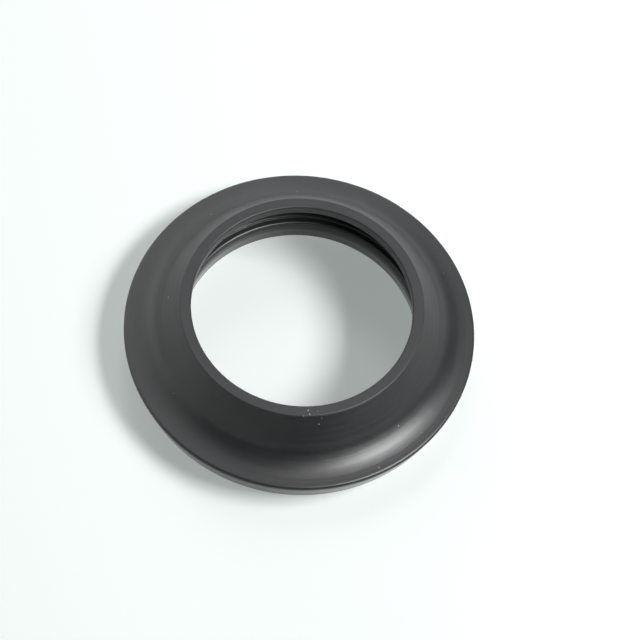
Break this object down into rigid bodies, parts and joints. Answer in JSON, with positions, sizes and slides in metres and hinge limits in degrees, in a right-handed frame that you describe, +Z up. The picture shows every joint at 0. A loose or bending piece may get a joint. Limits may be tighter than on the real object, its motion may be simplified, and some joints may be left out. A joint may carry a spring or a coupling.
{
  "type": "fork dust cap",
  "caption": "Moulded rubber ring with a tapered skirt, a wide flange, a steep hollow neck and a narrow wiping lip, which slides on a fork tube and covers the top of the fork leg.",
  "frame": {"origin": "centre of the foot, on the surface that the cap stands on", "axes": "+Z up along the axis of the fork tube, from the foot to the wiping lip"},
  "size_m": [0.058, 0.058, 0.0129],
  "materials": {
    "rubber": "satin"
  },
  "bodies": {
    "root": {"dust_cap": "rubber"}
  },
  "joints": []
}
